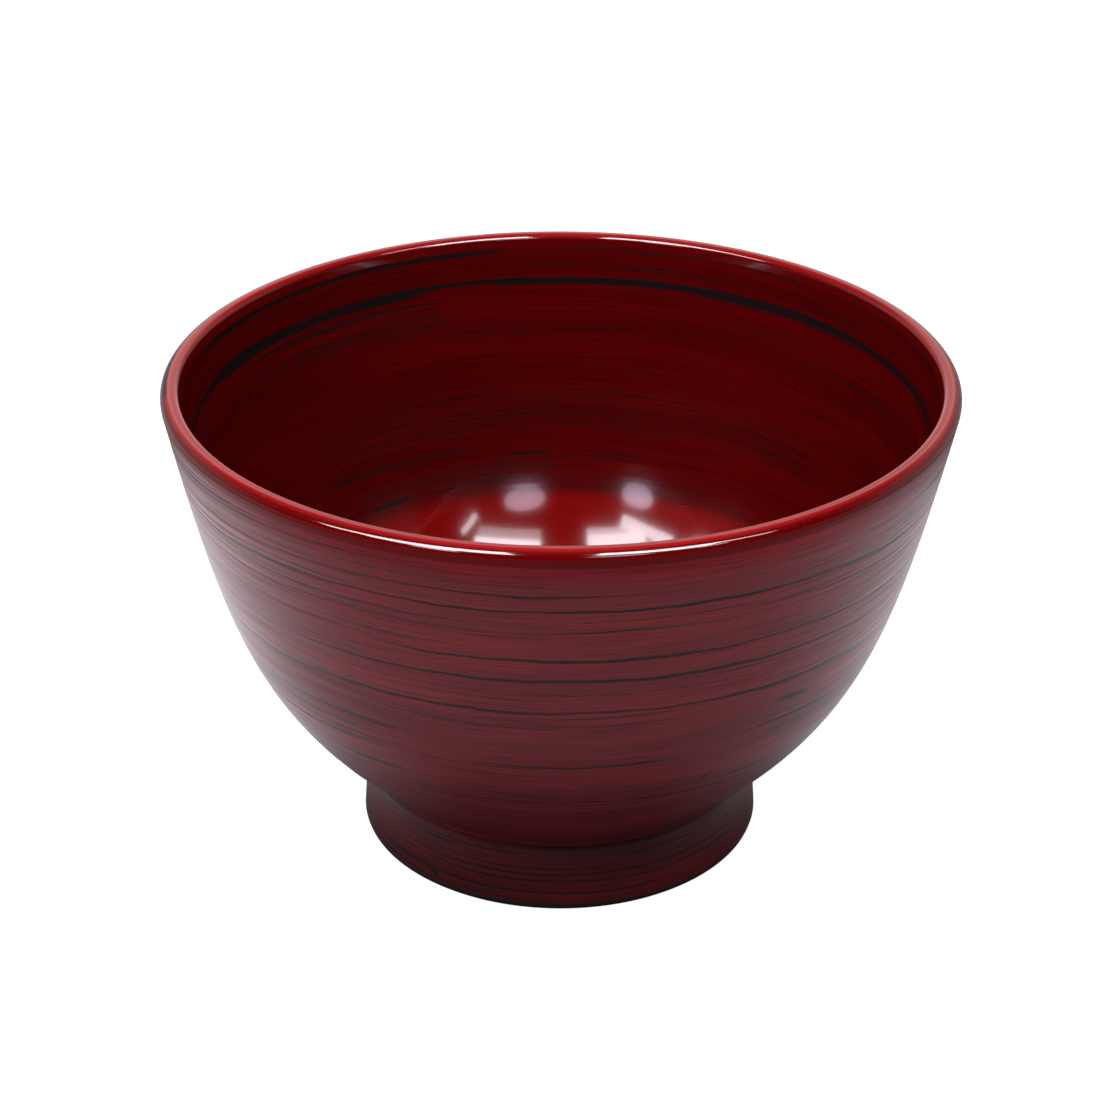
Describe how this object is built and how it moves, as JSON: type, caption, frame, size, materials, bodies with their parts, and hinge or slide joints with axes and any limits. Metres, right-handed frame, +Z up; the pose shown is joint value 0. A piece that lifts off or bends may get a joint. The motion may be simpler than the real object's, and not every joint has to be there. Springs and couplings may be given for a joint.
{
  "type": "lacquered soup bowl",
  "caption": "Round turned-wood soup bowl on a foot ring, lacquered red brushed over black, with a polished rim and a glossy red inside.",
  "frame": {"origin": "centre of the foot ring's resting face, on the table", "axes": "+Z up along the axis the bowl is turned about; X and Y are free, because the bowl is round"},
  "size_m": [0.12, 0.12, 0.0765],
  "materials": {
    "sealed_wood": "turned and sealed, hidden under the lacquer",
    "black_lacquer": "smooth black lacquer",
    "glossy_red_lacquer": "polished red lacquer with fine black brush streaks",
    "brushed_red_lacquer": "satin red lacquer brushed round over black, with fine ridges"
  },
  "bodies": {
    "root": {"wood_core": "sealed_wood", "black_undercoat_inside": "black_lacquer", "black_undercoat_outside": "black_lacquer", "red_coat_inside": "glossy_red_lacquer", "red_coat_outside": "brushed_red_lacquer", "rim_coat": "glossy_red_lacquer", "foot_ring_coat": "brushed_red_lacquer", "foot_well_coat": "black_lacquer"}
  },
  "joints": []
}
